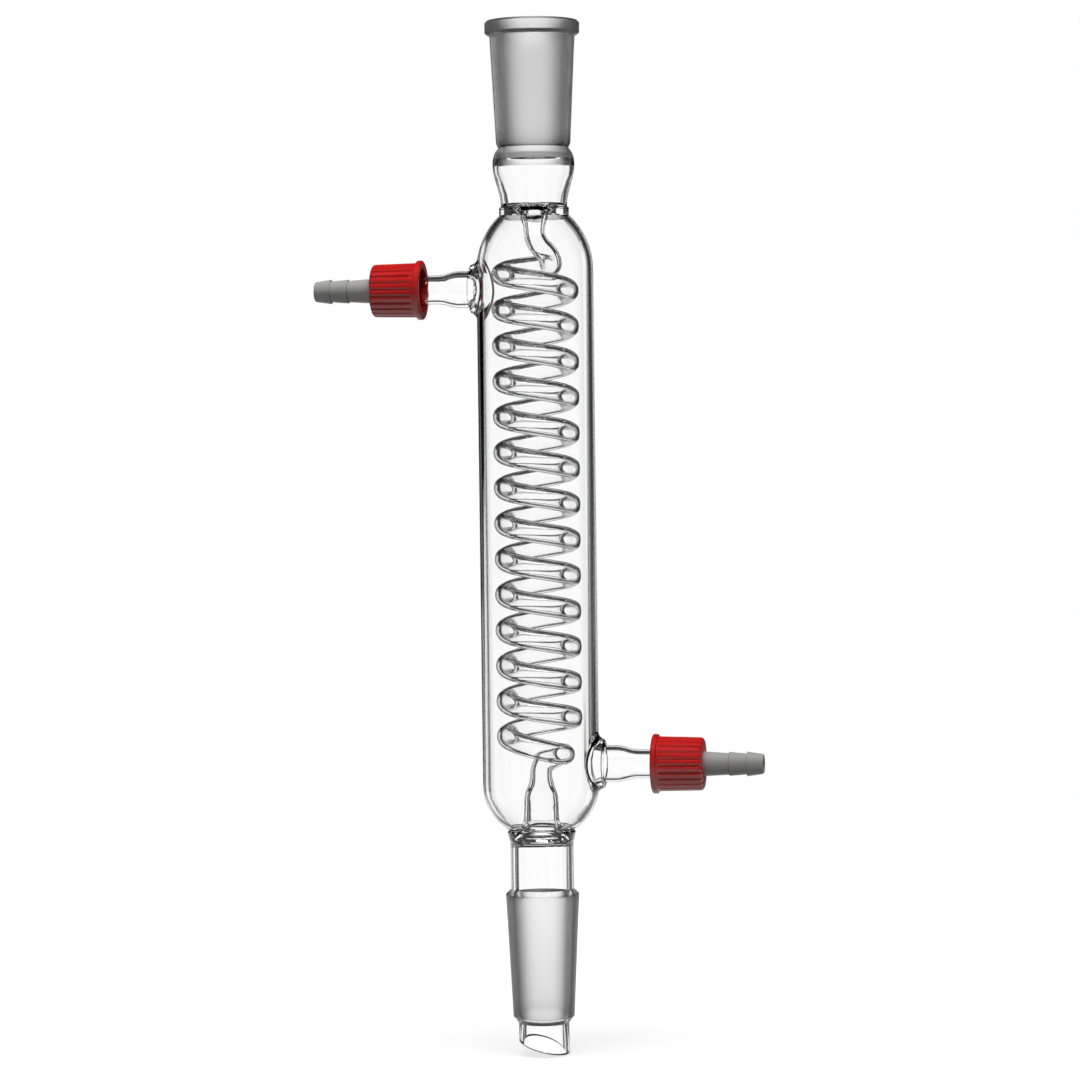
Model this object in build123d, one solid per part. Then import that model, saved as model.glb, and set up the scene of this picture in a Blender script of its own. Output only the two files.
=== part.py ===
from build123d import *

import os
from math import sqrt

# Coil condenser: a glass coil inside a water jacket, with a ground socket at the top, a ground cone with a
# drip tip at the bottom, and two side arms whose screw caps hold hose connectors.
# Millimetres. The origin is the centre of the lower cone's wide end and +Z runs up the axis.
# The upper side arm points to -X and the lower side arm to +X.

# Ground joints, standard taper
JOINT_D = 24.0
JOINT_LENGTH = 40.0
JOINT_TAPER = 0.1

# Lower cone, the plain tube above it and the drip tip below it
CONE_WALL = 2.0
CONE_TOP_WALL = 2.6
CONE_SHOULDER = 1.7
TUBE_D = 20.5
TUBE_WALL = 1.6
TUBE_LENGTH = 16.7
BORE_BLEND = 1.2
DRIP_D = 16.6
DRIP_WALL = 1.4
DRIP_LENGTH = 12.3
DRIP_STEP = 2.3
DRIP_CUT = 16.0
DRIP_LOW_SIDE = -23.0

# Lower ring seal: a thick ring that flares to a lip under the jacket's foot
LOW_SEAL_D = 22.4
LOW_SEAL_HEIGHT = 3.6
LOW_SEAL_UNDERCUT = 0.6
LOW_FOOT_D = 21.2

# Water jacket
JACKET_D = 38.0
JACKET_WALL = 1.5
JACKET_LENGTH = 200.3
LOW_SHOULDER_R = 18.0
HIGH_SHOULDER_R = 24.0

# Upper ring seal, neck bulb and socket
HIGH_SEAL_D = 22.8
HIGH_SEAL_HEIGHT = 2.4
NECK_LENGTH = 20.6
NECK_FOOT_D = 21.6
NECK_FOOT_RISE = 0.5
NECK_FLANK_D = 23.8
NECK_FLANK_RISE = 6.9
NECK_BELLY_D = 26.7
NECK_BELLY_RISE = 14.8
NECK_SHOULDER_D = 25.1
NECK_SHOULDER_DROP = 2.6
NECK_GROOVE_D = 22.9
NECK_GROOVE_DROP = 1.1
NECK_WALL = 1.4
DISH_RIM_RISE = 1.4
DISH_RIM_WIDTH = 1.2
DISH_EDGE_RISE = 0.3
DISH_DEPTH = 0.6
SOCKET_WALL = 2.1
SOCKET_FOOT_RISE = 0.3
SOCKET_LAND = 1.8
BEAD_D = 30.8
BEAD_HEIGHT = 4.5
BEAD_CHAMFER = 0.7
BEAD_COVE = 0.5

# Coil: a left-handed helix. Its bent ends are drawn in a frame turned by COIL_TWIST from the side arms,
# and every place on them is measured from the place where the tube meets its funnel.
COIL_D = 28.6
COIL_TUBE_D = 7.0
COIL_TUBE_WALL = 1.0
COIL_TURNS = 13
COIL_LEAD_ANGLE = 53.0
COIL_TWIST = 9.5
LOW_COIL_RISE = 12.3
HIGH_COIL_DROP = 12.3
CURL_REACH = 7.7
CURL_FRONT = 1.5
CURL_RISE = 6.4
CURL_LEG = 2.9
FRONT_INSET = 0.5
FRONT_DROP = 3.6
SWING = (2.6, -0.3, -6.2)
SWING_LEG = 8.4

# Funnels that join the coil's ends to the ring seals
LOW_FUNNEL_HEIGHT = 17.6
LOW_FUNNEL_FOOT_D = 14.3
LOW_FUNNEL_BELLY_D = 11.4
LOW_FUNNEL_BELLY_RISE = 4.9
LOW_FUNNEL_NECK_D = 10.4
LOW_FUNNEL_NECK_RISE = 11.3
FUNNEL_WALL = 1.1
THROAT_DROP = 2.0
HIGH_FUNNEL_HEIGHT = 4.0
HIGH_FUNNEL_D = 9.2
HIGH_MOUTH_D = 9.0
HIGH_THROAT_D = 5.8
HIGH_THROAT_DROP = 1.0
SEAL_FLOOR = 0.8
FLOOR_CORNER = 0.4
ROOF_CORNER = 0.3

# Side arms: heights from the jacket's feet, and lengths outward from the jacket's wall. At the collar the
# jacket is drawn out to meet the arm, so the arm's bore opens there like a trumpet.
LOW_ARM_RISE = 21.7
HIGH_ARM_DROP = 23.6
ARM_COLLAR_D = 16.0
ARM_COLLAR_SPREAD = 2.0
ARM_COLLAR_STANDOFF = 1.9
ARM_COLLAR_LIP = 0.6
ARM_COLLAR_FILLET = 2.6
ARM_COLLAR_WALL = 2.0
ARM_ROOT_DEPTH = 3.0
ARM_D = 12.0
ARM_WAIST_D = 9.4
ARM_WALL = 1.2
ARM_STRAIGHT = 6.0
ARM_TAPER = 7.0
ARM_FLARE = 3.0

# Threaded end of a side arm, round the arm's bore
THREAD_D = 14.0
THREAD_ROOT_D = 12.2
THREAD_LENGTH = 7.4
RIM_BORE_D = 9.5
RIM_CHAMFER = 0.4

# Screw cap, its outer end measured outward from the jacket's wall
CAP_STANDOFF = 34.7
CAP_LENGTH = 16.7
CAP_MOUTH_D = 17.9
CAP_END_D = 17.2
CAP_RIM_D = 19.4
CAP_RIM_WIDTH = 1.8
CAP_RIM_CHAMFER = 0.7
CAP_END_WALL = 1.6
CAP_END_FILLET = 1.0
CAP_GROOVES = 24
CAP_GROOVE_D = 1.3
CAP_GROOVE_DEPTH = 0.5
CAP_GROOVE_START = 0.8
CAP_THREAD_CLEARANCE = 0.3
CAP_HOLE_CLEARANCE = 0.35

# Sealing ring and hose connector
RING_HEIGHT = 1.9
RING_BORE_D = 7.0
FLANGE_D = 12.0
FLANGE_HEIGHT = 1.5
STEM_D = 8.06
STEM_END_D = 7.0
STEM_LENGTH = 8.2
BARB_D = 7.8
BARB_END_D = 6.8
BARB_LENGTH = 5.8
TIP_D = 8.04
TIP_END_D = 6.4
TIP_LENGTH = 5.5
TIP_FILLET = 0.6
CONNECTOR_BORE_D = 4.5


def arc_drop(shoulder_r, foot_d):
    """Height between a jacket shoulder's foot and its tangent point on the straight wall."""
    reach = shoulder_r - (JACKET_D - foot_d) / 2
    return sqrt(shoulder_r**2 - reach**2)


# Heights along the axis, worked out from the sizes above
SEAL_LIP_Z = TUBE_LENGTH + LOW_SEAL_HEIGHT
LOW_FOOT_Z = SEAL_LIP_Z + LOW_SEAL_UNDERCUT
JACKET_LOW_Z = LOW_FOOT_Z + arc_drop(LOW_SHOULDER_R, LOW_FOOT_D)
HIGH_FOOT_Z = LOW_FOOT_Z + JACKET_LENGTH
JACKET_HIGH_Z = HIGH_FOOT_Z - arc_drop(HIGH_SHOULDER_R, HIGH_SEAL_D)
NECK_Z = HIGH_FOOT_Z + HIGH_SEAL_HEIGHT
SOCKET_Z = NECK_Z + NECK_LENGTH
TOP_Z = SOCKET_Z + JOINT_LENGTH
LOW_FUNNEL_Z = LOW_FOOT_Z + SEAL_FLOOR
LOW_COIL_Z = LOW_FUNNEL_Z + LOW_FUNNEL_HEIGHT
HIGH_FUNNEL_Z = HIGH_FOOT_Z - SEAL_FLOOR
HIGH_COIL_Z = HIGH_FUNNEL_Z - HIGH_FUNNEL_HEIGHT
LOW_HELIX_Z = LOW_COIL_Z + LOW_COIL_RISE
HIGH_HELIX_Z = HIGH_COIL_Z - HIGH_COIL_DROP
LOW_ARM_Z = LOW_FOOT_Z + LOW_ARM_RISE
HIGH_ARM_Z = HIGH_FOOT_Z - HIGH_ARM_DROP

# Radii used more than once
CONE_R = JOINT_D / 2
CONE_END_R = CONE_R - JOINT_LENGTH * JOINT_TAPER / 2
COIL_R = (COIL_D - COIL_TUBE_D) / 2
COIL_BORE_R = COIL_TUBE_D / 2 - COIL_TUBE_WALL
JACKET_R = JACKET_D / 2
INNER_R = JACKET_R - JACKET_WALL

# Places along a side arm, outward from the axis
ARM_COLLAR = JACKET_R + ARM_COLLAR_STANDOFF
TAPER_START = JACKET_R + ARM_STRAIGHT
TAPER_END = TAPER_START + ARM_TAPER
CAP_REACH = JACKET_R + CAP_STANDOFF
CAP_MOUTH = CAP_REACH - CAP_LENGTH
FLANGE_OUT = CAP_REACH - CAP_END_WALL
FLANGE_IN = FLANGE_OUT - FLANGE_HEIGHT
ARM_RIM = FLANGE_IN - RING_HEIGHT
THREAD_START = ARM_RIM - THREAD_LENGTH


def turned(outline):
    """Solid of revolution about Z of a closed outline drawn as (radius, height)."""
    return revolve(make_face(Plane.XZ * outline), Axis.Z)


def turned_along_x(outline):
    """Solid of revolution about X of a closed outline drawn as (distance, radius)."""
    return revolve(make_face(outline), Axis.X)


def glass_outside():
    """Everything inside the outer surface of the drip tip, cone, seals, jacket, neck and socket."""
    low = Polyline(
        (0, -JOINT_LENGTH - DRIP_LENGTH),
        (DRIP_D / 2, -JOINT_LENGTH - DRIP_LENGTH),
        (DRIP_D / 2, -JOINT_LENGTH - DRIP_STEP),
        (CONE_END_R, -JOINT_LENGTH),
        (CONE_R, 0),
        (TUBE_D / 2, CONE_SHOULDER),
        (TUBE_D / 2, TUBE_LENGTH),
        (LOW_SEAL_D / 2, SEAL_LIP_Z),
        (LOW_FOOT_D / 2, LOW_FOOT_Z),
    )
    low_shoulder = RadiusArc(low @ 1, (JACKET_D / 2, JACKET_LOW_Z), -LOW_SHOULDER_R)
    wall = Line(low_shoulder @ 1, (JACKET_D / 2, JACKET_HIGH_Z))
    high_shoulder = RadiusArc(wall @ 1, (HIGH_SEAL_D / 2, HIGH_FOOT_Z), -HIGH_SHOULDER_R)
    seal = Polyline(high_shoulder @ 1, (HIGH_SEAL_D / 2, NECK_Z), (NECK_FOOT_D / 2, NECK_Z + NECK_FOOT_RISE))
    bulb = Spline(
        seal @ 1,
        (NECK_FLANK_D / 2, NECK_Z + NECK_FLANK_RISE),
        (NECK_BELLY_D / 2, NECK_Z + NECK_BELLY_RISE),
        (NECK_SHOULDER_D / 2, SOCKET_Z - NECK_SHOULDER_DROP),
    )
    socket_r = CONE_END_R + SOCKET_WALL
    under_bead = CONE_R - BEAD_HEIGHT * JOINT_TAPER / 2 + SOCKET_WALL
    high = Polyline(
        bulb @ 1,
        (NECK_GROOVE_D / 2, SOCKET_Z - NECK_GROOVE_DROP),
        (socket_r, SOCKET_Z + SOCKET_FOOT_RISE),
        (under_bead, TOP_Z - BEAD_HEIGHT - BEAD_COVE),
        (BEAD_D / 2 - BEAD_CHAMFER, TOP_Z - BEAD_HEIGHT),
        (BEAD_D / 2, TOP_Z - BEAD_HEIGHT + BEAD_CHAMFER),
        (BEAD_D / 2, TOP_Z - BEAD_CHAMFER),
        (BEAD_D / 2 - BEAD_CHAMFER, TOP_Z),
        (0, TOP_Z),
        (0, -JOINT_LENGTH - DRIP_LENGTH),
    )
    return turned(low + low_shoulder + wall + high_shoulder + seal + bulb + high)


def low_bore():
    """The way for the liquid from the lower end of the coil to the drip tip."""
    below = -JOINT_LENGTH - DRIP_LENGTH - 1
    foot = Polyline(
        (0, below),
        (DRIP_D / 2 - DRIP_WALL, below),
        (DRIP_D / 2 - DRIP_WALL, -JOINT_LENGTH - DRIP_STEP),
        (CONE_END_R - CONE_WALL, -JOINT_LENGTH + BORE_BLEND),
        (CONE_R - CONE_TOP_WALL, -BORE_BLEND),
        (TUBE_D / 2 - TUBE_WALL, CONE_SHOULDER),
        (TUBE_D / 2 - TUBE_WALL, TUBE_LENGTH - BORE_BLEND),
    )
    throat = Spline(
        foot @ 1,
        (LOW_FUNNEL_FOOT_D / 2 - FUNNEL_WALL, LOW_FUNNEL_Z - THROAT_DROP),
        (LOW_FUNNEL_BELLY_D / 2 - FUNNEL_WALL, LOW_FUNNEL_Z + LOW_FUNNEL_BELLY_RISE),
        (LOW_FUNNEL_NECK_D / 2 - FUNNEL_WALL, LOW_FUNNEL_Z + LOW_FUNNEL_NECK_RISE),
        (COIL_BORE_R, LOW_COIL_Z),
        tangents=[(0, 1), (0, 1)],
    )
    close = Polyline(throat @ 1, (0, LOW_COIL_Z), (0, below))
    return turned(foot + throat + close)


def high_bore():
    """The socket's ground bore, the inside of the neck and the mouth of the coil's upper end."""
    land_z = SOCKET_Z - SOCKET_LAND
    mouth = Polyline((0, TOP_Z), (CONE_R, TOP_Z), (CONE_END_R, SOCKET_Z), (CONE_END_R, land_z))
    bulb = Spline(
        mouth @ 1,
        (NECK_SHOULDER_D / 2 - NECK_WALL, SOCKET_Z - NECK_SHOULDER_DROP - NECK_WALL),
        (NECK_BELLY_D / 2 - NECK_WALL, NECK_Z + NECK_BELLY_RISE),
        (NECK_FLANK_D / 2 - NECK_WALL, NECK_Z + NECK_FLANK_RISE),
        (NECK_FOOT_D / 2 - NECK_WALL, NECK_Z + DISH_RIM_RISE),
    )
    dish = Spline(
        bulb @ 1,
        (NECK_FOOT_D / 2 - NECK_WALL - DISH_RIM_WIDTH, NECK_Z + DISH_EDGE_RISE),
        (HIGH_MOUTH_D / 2, NECK_Z - DISH_DEPTH),
        (HIGH_THROAT_D / 2, HIGH_FUNNEL_Z - HIGH_THROAT_DROP),
        (COIL_BORE_R, HIGH_COIL_Z),
    )
    close = Polyline(dish @ 1, (0, HIGH_COIL_Z), (0, TOP_Z))
    return turned(mouth + bulb + dish + close)


def water_space():
    """The inside of the jacket, less the two funnels."""
    low_inner_r = LOW_SHOULDER_R - JACKET_WALL
    high_inner_r = HIGH_SHOULDER_R - JACKET_WALL
    low_centre = JACKET_R - LOW_SHOULDER_R
    high_centre = JACKET_R - HIGH_SHOULDER_R
    floor_r = LOW_FOOT_D / 2 - JACKET_WALL + FLOOR_CORNER
    roof_r = HIGH_SEAL_D / 2 - JACKET_WALL + ROOF_CORNER
    floor_z = JACKET_LOW_Z - sqrt(low_inner_r**2 - (floor_r - low_centre) ** 2)
    roof_z = JACKET_HIGH_Z + sqrt(high_inner_r**2 - (roof_r - high_centre) ** 2)
    top = Polyline((0, LOW_COIL_Z), (COIL_TUBE_D / 2, LOW_COIL_Z))
    low_funnel = Spline(
        top @ 1,
        (LOW_FUNNEL_NECK_D / 2, LOW_FUNNEL_Z + LOW_FUNNEL_NECK_RISE),
        (LOW_FUNNEL_BELLY_D / 2, LOW_FUNNEL_Z + LOW_FUNNEL_BELLY_RISE),
        (LOW_FUNNEL_FOOT_D / 2, LOW_FUNNEL_Z),
        tangents=[(0, -1), (1, -0.6)],
    )
    floor = Line(low_funnel @ 1, (floor_r, floor_z))
    low_shoulder = RadiusArc(floor @ 1, (INNER_R, JACKET_LOW_Z), -low_inner_r)
    wall = Line(low_shoulder @ 1, (INNER_R, JACKET_HIGH_Z))
    high_shoulder = RadiusArc(wall @ 1, (roof_r, roof_z), -high_inner_r)
    roof = Line(high_shoulder @ 1, (HIGH_FUNNEL_D / 2, HIGH_FUNNEL_Z))
    high_funnel = Spline(roof @ 1, (COIL_TUBE_D / 2, HIGH_COIL_Z), tangents=[(-0.4, -1), (0, -1)])
    close = Polyline(high_funnel @ 1, (0, HIGH_COIL_Z), (0, LOW_COIL_Z))
    return turned(
        top + low_funnel + floor + low_shoulder + wall + high_shoulder + roof + high_funnel + close
    )


def arc_pair(start, heading, end, end_heading, leg):
    """Two tangent arcs from start to end, leaving along heading and ending along end_heading."""
    corner = start + heading * leg
    gap = end - corner
    other_leg = (gap.length**2 - leg**2) / (2 * (leg + gap.dot(end_heading)))
    before = end - end_heading * other_leg
    joint = (corner * other_leg + before * leg) * (1 / (leg + other_leg))
    first = TangentArc(start, joint, tangent=heading)
    return [first, TangentArc(joint, end, tangent=first % 1)]


def coil_path():
    """The coil tube's centre line as a list of edges, from the lower funnel up to the upper one."""
    up = Vector(0, 0, 1)
    foot = Vector(0, 0, LOW_COIL_Z)
    curl = foot + Vector(CURL_REACH, -CURL_FRONT, CURL_RISE)
    curl_arcs = arc_pair(foot, up, curl, Vector(0, -1, 0), CURL_LEG)
    rise = HIGH_HELIX_Z - LOW_HELIX_Z
    pitch = rise / (COIL_TURNS + COIL_LEAD_ANGLE / 360)
    helix = Helix(pitch, rise, COIL_R, lefthand=True)
    helix = Pos(0, 0, LOW_HELIX_Z) * Rot(0, 0, 180) * helix
    front = Spline(
        curl,
        (0, FRONT_INSET - COIL_R, LOW_HELIX_Z - FRONT_DROP),
        helix @ 0,
        tangents=[curl_arcs[1] % 1, helix % 0],
    )
    head = Vector(0, 0, HIGH_COIL_Z)
    swing = head + Vector(*SWING)
    drop = TangentArc(head, swing, tangent=-up)
    rear_arcs = arc_pair(helix @ 1, helix % 1, swing, -(drop % 1), SWING_LEG)
    return [*curl_arcs, front, helix, *rear_arcs, drop]


def coil_tube():
    """The bent glass tube of the coil, open at both ends."""
    ring = Circle(COIL_TUBE_D / 2) - Circle(COIL_BORE_R)
    stretches = [sweep(Plane(origin=edge @ 0, z_dir=edge % 0) * ring, edge) for edge in coil_path()]
    tube = stretches[0].fuse(*stretches[1:])
    return Rot(0, 0, COIL_TWIST) * tube


def arm_outside():
    """A filled side arm along +X: collar at the jacket, tube, waist and threaded end."""
    collar_r = ARM_COLLAR_D / 2
    root = Polyline(
        (0, 0),
        (0, collar_r + ARM_COLLAR_SPREAD),
        (INNER_R - ARM_ROOT_DEPTH, collar_r + ARM_COLLAR_SPREAD),
        (ARM_COLLAR, collar_r),
        (ARM_COLLAR + ARM_COLLAR_LIP / 2, collar_r - ARM_COLLAR_LIP),
        (ARM_COLLAR + ARM_COLLAR_LIP, ARM_D / 2),
        (TAPER_START, ARM_D / 2),
    )
    taper = Spline(root @ 1, (TAPER_END, ARM_WAIST_D / 2), tangents=[(1, 0), (1, 0)])
    waist = Line(taper @ 1, (THREAD_START - ARM_FLARE, ARM_WAIST_D / 2))
    flare = Spline(waist @ 1, (THREAD_START, THREAD_ROOT_D / 2), tangents=[(1, 0), (1, 0)])
    rim = Polyline(
        flare @ 1,
        (ARM_RIM - RIM_CHAMFER, THREAD_ROOT_D / 2),
        (ARM_RIM, THREAD_ROOT_D / 2 - RIM_CHAMFER),
        (ARM_RIM, 0),
        (0, 0),
    )
    return turned_along_x(root + taper + waist + flare + rim)


def arm_bore():
    """The bore of a side arm along +X, from the water space to beyond the rim."""
    start = INNER_R - ARM_ROOT_DEPTH
    bore_r = ARM_D / 2 - ARM_WALL
    mouth_r = (ARM_COLLAR_D + ARM_COLLAR_SPREAD) / 2 - ARM_COLLAR_WALL
    mouth = Line((start, 0), (start, mouth_r))
    trumpet = Spline(mouth @ 1, (ARM_COLLAR + ARM_COLLAR_LIP, bore_r), tangents=[(1, 0), (1, 0)])
    root = Line(trumpet @ 1, (TAPER_START, bore_r))
    waist_r = ARM_WAIST_D / 2 - ARM_WALL
    taper = Spline(root @ 1, (TAPER_END, waist_r), tangents=[(1, 0), (1, 0)])
    waist = Line(taper @ 1, (THREAD_START - ARM_FLARE, waist_r))
    flare = Spline(waist @ 1, (THREAD_START, RIM_BORE_D / 2), tangents=[(1, 0), (1, 0)])
    rim = Polyline(flare @ 1, (ARM_RIM + 1, RIM_BORE_D / 2), (ARM_RIM + 1, 0), (start, 0))
    return turned_along_x(mouth + trumpet + root + taper + waist + flare + rim)


def drip_cutter():
    """A block whose upper face is the oblique cut of the drip tip."""
    low_point = Rot(0, 0, DRIP_LOW_SIDE) * Pos(DRIP_D / 2, 0, -JOINT_LENGTH - DRIP_LENGTH)
    block = Box(4 * DRIP_D, 4 * DRIP_D, DRIP_D, align=(Align.CENTER, Align.CENTER, Align.MAX))
    return low_point * Rot(0, DRIP_CUT, 0) * block


def is_collar_root(edge):
    """True for an edge where a side arm's collar leaves the jacket."""
    middle = edge.center(CenterOf.BOUNDING_BOX)
    arm_z = LOW_ARM_Z if middle.X > 0 else HIGH_ARM_Z
    round_arm = abs(middle.Z - arm_z) < ARM_COLLAR_D and edge.geom_type == GeomType.BSPLINE
    return round_arm and INNER_R - ARM_ROOT_DEPTH < abs(middle.X) < JACKET_R


def glass_body():
    """The whole glass: every tube, seal, shoulder and joint is flame-fused into one piece."""
    high_arm = Pos(0, 0, HIGH_ARM_Z) * Rot(0, 0, 180)
    low_arm = Pos(0, 0, LOW_ARM_Z)
    body = glass_outside() + high_arm * arm_outside() + low_arm * arm_outside()
    body = fillet(body.edges().filter_by(is_collar_root), ARM_COLLAR_FILLET)
    body = body - water_space() - low_bore() - high_bore() - drip_cutter()
    body = body - high_arm * arm_bore() - low_arm * arm_bore()
    return body + coil_tube()


def screw_cap():
    """A screw cap along +X with a flared rim, grip grooves and a hole for the hose connector."""
    body_start = CAP_MOUTH + CAP_RIM_WIDTH
    mouth_r = CAP_MOUTH_D / 2
    end_r = CAP_END_D / 2
    bore_r = THREAD_D / 2 + CAP_THREAD_CLEARANCE
    hole_r = STEM_D / 2 + CAP_HOLE_CLEARANCE
    side = Polyline(
        (CAP_MOUTH, bore_r),
        (CAP_MOUTH, CAP_RIM_D / 2 - CAP_RIM_CHAMFER),
        (CAP_MOUTH + CAP_RIM_CHAMFER, CAP_RIM_D / 2),
        (body_start, CAP_RIM_D / 2),
        (body_start, mouth_r),
        (CAP_REACH - CAP_END_FILLET, end_r),
    )
    corner = RadiusArc(side @ 1, (CAP_REACH, end_r - CAP_END_FILLET), CAP_END_FILLET)
    inside = Polyline(
        corner @ 1,
        (CAP_REACH, hole_r),
        (FLANGE_OUT, hole_r),
        (FLANGE_OUT, bore_r),
        (CAP_MOUTH, bore_r),
    )
    cap = turned_along_x(side + corner + inside)
    centre_out = CAP_GROOVE_D / 2 - CAP_GROOVE_DEPTH
    path = Line((body_start + CAP_GROOVE_START, mouth_r + centre_out), (CAP_REACH + 1, end_r + centre_out))
    groove = sweep(Plane(origin=path @ 0, z_dir=path % 0) * Circle(CAP_GROOVE_D / 2), path)
    step = 360 / CAP_GROOVES
    return cap - [Rot(step * k, 0, 0) * groove for k in range(CAP_GROOVES)]


def sealing_ring():
    """The soft ring between a side arm's rim and the connector's flange."""
    outline = Polyline(
        (ARM_RIM, RING_BORE_D / 2),
        (ARM_RIM, FLANGE_D / 2),
        (FLANGE_IN, FLANGE_D / 2),
        (FLANGE_IN, RING_BORE_D / 2),
        (ARM_RIM, RING_BORE_D / 2),
    )
    return turned_along_x(outline)


def hose_connector():
    """A flanged hose connector along +X with a tapered stem and two barbs round one bore."""
    stem_end = CAP_REACH + STEM_LENGTH
    barb_end = stem_end + BARB_LENGTH
    tip = barb_end + TIP_LENGTH
    side = Polyline(
        (FLANGE_IN, CONNECTOR_BORE_D / 2),
        (FLANGE_IN, FLANGE_D / 2),
        (FLANGE_OUT, FLANGE_D / 2),
        (FLANGE_OUT, STEM_D / 2),
        (CAP_REACH, STEM_D / 2),
        (stem_end, STEM_END_D / 2),
        (stem_end, BARB_D / 2),
        (barb_end, BARB_END_D / 2),
        (barb_end, TIP_D / 2),
        (tip - TIP_FILLET, TIP_END_D / 2),
    )
    corner = RadiusArc(side @ 1, (tip, TIP_END_D / 2 - TIP_FILLET), TIP_FILLET)
    inside = Polyline(corner @ 1, (tip, CONNECTOR_BORE_D / 2), (FLANGE_IN, CONNECTOR_BORE_D / 2))
    return turned_along_x(side + corner + inside)


def main():
    nodes = {"glass_body": glass_body()}
    arms = {
        "upper": Pos(0, 0, HIGH_ARM_Z) * Rot(0, 0, 180),
        "lower": Pos(0, 0, LOW_ARM_Z),
    }
    for side, place in arms.items():
        nodes[f"{side}_screw_cap"] = place * screw_cap()
        nodes[f"{side}_sealing_ring"] = place * sealing_ring()
        nodes[f"{side}_hose_connector"] = place * hose_connector()
    os.makedirs("parts", exist_ok=True)
    for name, solid in nodes.items():
        solid.label = name
        export_step(solid, f"parts/{name}.step")


main()
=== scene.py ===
"""Looks of a glass coil condenser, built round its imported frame.

The frame's axes hold throughout: +Z runs up the condenser and +X along the lower side arm. Finished meshes,
the studio and the textures are in metres. The sizes of the condenser's own pieces are in millimetres.
"""

from __future__ import annotations

import logging
import math
from dataclasses import dataclass
from enum import Enum

import bmesh
import bpy
from mathutils import Matrix, Vector


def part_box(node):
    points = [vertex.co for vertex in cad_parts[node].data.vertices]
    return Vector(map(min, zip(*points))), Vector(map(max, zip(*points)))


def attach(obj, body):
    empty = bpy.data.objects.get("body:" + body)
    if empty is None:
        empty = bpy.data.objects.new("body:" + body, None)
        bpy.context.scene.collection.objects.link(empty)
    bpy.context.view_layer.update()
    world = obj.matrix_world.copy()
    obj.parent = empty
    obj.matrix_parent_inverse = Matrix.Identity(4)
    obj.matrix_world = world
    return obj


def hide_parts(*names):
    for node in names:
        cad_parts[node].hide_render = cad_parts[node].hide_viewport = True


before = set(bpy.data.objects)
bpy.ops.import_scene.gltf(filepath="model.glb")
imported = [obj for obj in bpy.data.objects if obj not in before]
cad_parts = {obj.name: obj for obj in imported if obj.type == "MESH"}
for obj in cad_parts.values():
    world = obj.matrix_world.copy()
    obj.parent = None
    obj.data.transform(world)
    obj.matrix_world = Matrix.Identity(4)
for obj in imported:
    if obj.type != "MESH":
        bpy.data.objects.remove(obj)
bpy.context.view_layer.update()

LOG = logging.getLogger("condenser")
MM = 0.001
DECIMALS = 3


def drawn(length: float) -> float:
    """Drawn size in millimetres, to the micrometre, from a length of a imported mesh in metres."""
    return round(length / MM, DECIMALS)


class Body(Enum):
    """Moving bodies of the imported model."""

    GLASS = "glass"
    UPPER_CONNECTOR = "upper_connector"
    UPPER_CAP = "upper_cap"
    LOWER_CONNECTOR = "lower_connector"
    LOWER_CAP = "lower_cap"


class Slot(Enum):
    """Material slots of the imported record."""

    GLASS = "clear_glass"
    CAP = "red_cap"
    CONNECTOR = "grey_connector"
    SEAL = "soft_seal"


class Side(Enum):
    """The two side arms, with the way each points along X."""

    UPPER = ("upper", -1)
    LOWER = ("lower", 1)

    @property
    def label(self) -> str:
        """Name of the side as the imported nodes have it."""
        return self.value[0]

    @property
    def cap_body(self) -> Body:
        """Body of the screw cap on this side."""
        return Body(f"{self.label}_cap")

    @property
    def connector_body(self) -> Body:
        """Body of the hose connector on this side."""
        return Body(f"{self.label}_connector")

    def place(self) -> Matrix:
        """Matrix that sets a piece drawn along +X in millimetres onto this arm, in metres.

        Returns:
            The matrix.
        """
        _, sign = self.value
        low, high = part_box(f"{self.label}_sealing_ring")
        turn = Matrix.Rotation(math.pi if sign < 0 else 0.0, 4, "Z")
        height = drawn((low.z + high.z) / 2)
        return Matrix.Translation((0, 0, height * MM)) @ turn @ Matrix.Scale(MM, 4)

    def reach(self, piece: str) -> tuple[float, float]:
        """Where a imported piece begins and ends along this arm.

        Args:
            piece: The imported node's name without the side.

        Returns:
            Nearest and farthest distance from the condenser's axis, in millimetres.
        """
        low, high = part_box(f"{self.label}_{piece}")
        near, far = sorted((drawn(abs(low.x)), drawn(abs(high.x))))
        return near, far


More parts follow.
